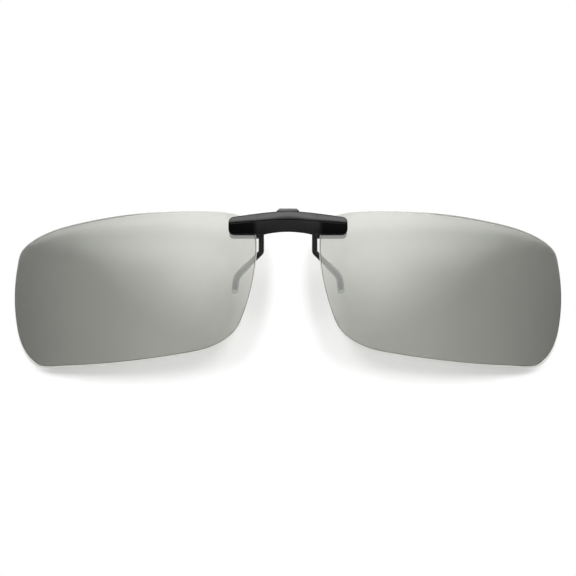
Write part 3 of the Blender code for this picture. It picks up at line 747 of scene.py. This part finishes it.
def soften(node, width, material, segments=3):
    """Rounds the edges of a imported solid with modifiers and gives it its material."""
    obj = frame["nodes"][node]
    obj.data.materials.clear()
    obj.data.materials.append(material)
    weld = obj.modifiers.new("weld", "WELD")
    weld.merge_threshold = WELD_DISTANCE
    flat = obj.modifiers.new("join flats", "DECIMATE")
    flat.decimate_type = "DISSOLVE"
    flat.angle_limit = math.radians(FLAT_ANGLE)
    bevel = obj.modifiers.new("edge rounding", "BEVEL")
    bevel.width = width * MM
    bevel.segments = segments
    bevel.limit_method = "ANGLE"
    bevel.angle_limit = math.radians(EDGE_ANGLE)
    bevel.use_clamp_overlap = True
    bevel.harden_normals = True
    obj.data.shade_smooth()


# ---------------------------------------------------------------- stage, light and camera

# The light tent. A ramp is (from, to, value before, value after), over degrees unless stated. A rise goes
# from nothing to full.
PANEL_START = 8.0  # azimuth from which the front panel's lower edge climbs
PANEL_CLIMB = 0.38  # degrees up for each degree to the side
PANEL_LIMIT = 6.4  # how high its edge climbs at most
PANEL_SOFTNESS = (2.0, 33.0, 9.0, 1.2)
PANEL_LIGHT = (6.0, 42.0, 1.05, 0.45)
PANEL_FADE = (5.0, 10.0, 1.0, 0.63)
FLOOR_LIGHT = (22.0, 40.0, 0.37, 0.18)
CENTRE_LOSS = (4.0, 14.0, 0.08, 0.0)
LENS_LOSS = (10.0, 31.0, 0.28, 0.08)  # taken off panel and floor because the lens lets more light through
OVERHEAD_LIGHT = 5.0  # what the top of the tent shows in reflections
OVERHEAD_RISE = (22.0, 55.0)
BESIDE_RISE = (60.0, 120.0)
BEHIND_LIGHT = (-30.0, 50.0, 0.2, 1.1)
TENT_LIGHT = (-0.5, 0.6, 0.2, 1.1)  # the even light on matt surfaces, over the height of its direction


def tent_in_front(nodes, azimuth, elevation):
    """A panel over a dim floor. The panel's lower edge climbs to the sides and gets sharper there."""
    beyond = nodes.maths("SUBTRACT", azimuth, PANEL_START)
    edge = nodes.maths("MINIMUM", nodes.maths("MULTIPLY", beyond, PANEL_CLIMB), PANEL_LIMIT)
    softness = nodes.smooth(azimuth, *PANEL_SOFTNESS)
    height = nodes.maths("DIVIDE", nodes.maths("SUBTRACT", elevation, edge), softness)
    panel = nodes.smooth(height, -1.0, 1.0)
    lens_loss = nodes.smooth(azimuth, *LENS_LOSS)
    panel_light = nodes.maths("SUBTRACT", nodes.smooth(azimuth, *PANEL_LIGHT), lens_loss)
    fading = nodes.smooth(elevation, *PANEL_FADE)
    floor_light = nodes.smooth(azimuth, *FLOOR_LIGHT)
    centre_loss = nodes.smooth(azimuth, *CENTRE_LOSS)
    dim_floor = nodes.maths("SUBTRACT", nodes.maths("SUBTRACT", floor_light, centre_loss), lens_loss)
    return nodes.blend(panel, dim_floor, nodes.maths("MULTIPLY", panel_light, fading))


def studio_world():
    """White for the camera, even light for matt surfaces, and a light tent's gradient for reflections."""
    world = bpy.data.worlds.new("studio")
    bpy.context.scene.world = world
    world.use_nodes = True
    tree = world.node_tree
    tree.nodes.clear()
    nodes = Nodes(tree)
    output = tree.nodes.new("ShaderNodeOutputWorld")
    way = nodes.add("ShaderNodeTexCoord", output="Generated")
    split = nodes.tree.nodes.new("ShaderNodeSeparateXYZ")
    tree.links.new(way, split.inputs[0])
    side = nodes.maths("ABSOLUTE", split.outputs["X"])
    forward = nodes.maths("MULTIPLY", split.outputs["Y"], -1.0)
    azimuth = nodes.maths("MULTIPLY", nodes.maths("ARCTAN2", side, forward), 180.0 / math.pi)
    elevation = nodes.maths("MULTIPLY", nodes.maths("ARCSINE", split.outputs["Z"]), 180.0 / math.pi)
    in_front = tent_in_front(nodes, azimuth, elevation)
    # Overhead and behind is the rest of the light tent.
    overhead = nodes.blend(nodes.smooth(elevation, *OVERHEAD_RISE), in_front, OVERHEAD_LIGHT)
    beside = nodes.smooth(azimuth, *BESIDE_RISE)
    behind = nodes.smooth(elevation, *BEHIND_LIGHT)
    reflected = nodes.blend(beside, overhead, behind)
    path = tree.nodes.new("ShaderNodeLightPath")
    mirrored = nodes.add("ShaderNodeBackground", {"Color": (1.0, 1.0, 0.99, 1.0), "Strength": reflected})
    from_above = nodes.smooth(split.outputs["Z"], *TENT_LIGHT)
    plain = nodes.add("ShaderNodeBackground", {"Color": WHITE, "Strength": from_above})
    white = nodes.add("ShaderNodeBackground", {"Color": WHITE, "Strength": 1.0})
    first = nodes.add("ShaderNodeMixShader", {0: path.outputs["Is Glossy Ray"], 1: plain, 2: mirrored})
    surface = nodes.add("ShaderNodeMixShader", {0: path.outputs["Is Camera Ray"], 1: first, 2: white})
    tree.links.new(surface, output.inputs["Surface"])


PAPER_DARK = 0.9
PAPER_LIGHT = 0.92
PAINTED_GLOW_FROM = 57 * MM  # beyond here the paper glows with painted light, so shadows fade out
PAINTED_GLOW_TO = 65 * MM
EDGE_ON_FROM = 0.8  # one less the cosine of the angle from which the paper fades out
EDGE_ON_TO = 0.92


def table_material():
    """Matt white paper that hides nothing when the object is looked at from behind or from the side; towards
    the outer ends it glows with painted light that fades shadows out.
    """
    material, nodes, output = new_material("white_paper")
    grain = nodes.noise(900.0, 3.0)
    tone = nodes.mix_colour(grain, colour(PAPER_DARK), colour(PAPER_LIGHT))
    paper = nodes.add("ShaderNodeBsdfDiffuse", {"Color": tone, "Roughness": 0.6})
    # Painted light: where seen directly, the paper glows towards the outer ends.
    painted_glow = nodes.add("ShaderNodeEmission", {"Color": WHITE, "Strength": 1.0})
    painted_light_share = nodes.smooth(nodes.maths("ABSOLUTE", nodes.across("X")), PAINTED_GLOW_FROM, PAINTED_GLOW_TO)
    lenses_passed = nodes.add("ShaderNodeLightPath", output="Transparent Depth")
    in_the_open = nodes.maths("LESS_THAN", lenses_passed, 0.5)
    share = nodes.maths("MULTIPLY", painted_light_share, in_the_open)
    paper = nodes.add("ShaderNodeMixShader", {0: share, 1: paper, 2: painted_glow})
    clear = nodes.add("ShaderNodeBsdfTransparent", {})
    behind = nodes.add("ShaderNodeNewGeometry", output="Backfacing")
    edge_on = nodes.smooth(nodes.add("ShaderNodeLayerWeight", output="Facing"), EDGE_ON_FROM, EDGE_ON_TO)
    unseen = nodes.maths("MAXIMUM", behind, edge_on)
    finish_material(nodes, output, nodes.add("ShaderNodeMixShader", {0: unseen, 1: paper, 2: clear}))
    return material


TABLE_Y = 10.2 * MM  # the outer edges of the lenses rest on it
TABLE_HALF = 0.6


def build_table():
    bm = bmesh.new()
    half = TABLE_HALF
    corners = ((-half, -half), (half, -half), (half, half), (-half, half))
    bm.faces.new([bm.verts.new((x, TABLE_Y, z)) for x, z in corners])
    mesh = bpy.data.meshes.new("table")
    bm.to_mesh(mesh)
    bm.free()
    mesh.materials.append(table_material())
    table = bpy.data.objects.new("table", mesh)
    bpy.context.scene.collection.objects.link(table)


def keep_off_table():
    """Only the lenses and what is fixed in them cast a shadow, so the table between the arms stays white."""
    for obj in bpy.data.objects:
        if obj.type == "MESH" and not obj.name.startswith("lens_"):
            obj.visible_shadow = False
            obj.visible_diffuse = False


SOFTBOX_PLACE = (0.42, -0.88, 0.58)  # the left one; the right one mirrors it
SOFTBOX_SIZE = (0.35, 0.45)
SOFTBOX_POWER = 5.5


def add_softbox(name, place, target):
    light = bpy.data.lights.new(name, "AREA")
    light.shape = "RECTANGLE"
    light.size, light.size_y = SOFTBOX_SIZE
    light.energy = SOFTBOX_POWER
    obj = bpy.data.objects.new(name, light)
    obj.location = place
    obj.visible_glossy = False  # the tent stands for it in reflections
    obj.rotation_mode = "QUATERNION"
    obj.rotation_quaternion = (target - Vector(place)).to_track_quat("-Z", "Y")
    bpy.context.scene.collection.objects.link(obj)


WIDTH_SHARE = 0.94965  # how much of the picture's width the glasses fill
CAMERA_DISTANCE = 1.8
WIDEST_AT = 8.5 * MM  # how deep the outer edges of the lenses lie
SENSOR = 36.0


def add_camera():
    centre = (cad_low + cad_high) / 2
    field = (cad_high.x - cad_low.x) / WIDTH_SHARE
    camera = bpy.data.cameras.new("camera")
    camera.sensor_width = SENSOR
    camera.lens = SENSOR * (CAMERA_DISTANCE + WIDEST_AT) / field
    obj = bpy.data.objects.new("camera", camera)
    obj.location = (centre.x, -CAMERA_DISTANCE, centre.z)
    obj.rotation_euler = (math.pi / 2, 0.0, 0.0)
    bpy.context.scene.collection.objects.link(obj)
    bpy.context.scene.camera = obj


# ---------------------------------------------------------------- build


def main():
    black = moulded_plastic("black_moulding", 0.0045, 0.34)
    cover_black = moulded_plastic("black_moulding_cover", 0.0068, 0.34, pads_with_painted_shade=True)
    tab_black = moulded_plastic("black_moulding_tab", 0.02, 0.36, gloss=0.6)
    metal = steel()
    wire = coated_wire()
    silicone = clear_silicone()
    lens_materials = [lens_coat(), lens_rim(), lens_edge_painted_line(), lens_inside()]
    build_lens("lens_left", "left_lens", lens_materials)
    build_lens("lens_right", "right_lens", lens_materials)
    build_claws(wire, silicone)
    build_spring(metal)
    soften("bridge_cover", 0.2, cover_black)
    soften("back_plate", 0.12, black)
    soften("jaw_lever", 0.12, black)
    soften("press_tab", 0.1, tab_black)
    soften("hinge_pin", 0.12, metal)
    bush = nylon()
    for tag in ("left", "right"):
        for place in ("inner", "outer"):
            soften(f"lens_screw_{tag}_{place}", 0.06, metal, 2)
            soften(f"lens_bush_{tag}_{place}", 0.05, bush, 2)
    keep_off_table()
    studio_world()
    build_table()
    middle = (cad_low + cad_high) / 2
    for side, tag in ((1, "left"), (-1, "right")):
        add_softbox(f"softbox_{tag}", (side * SOFTBOX_PLACE[0], *SOFTBOX_PLACE[1:]), middle)
    add_camera()
    bpy.context.scene.view_settings.view_transform = "Standard"


main()
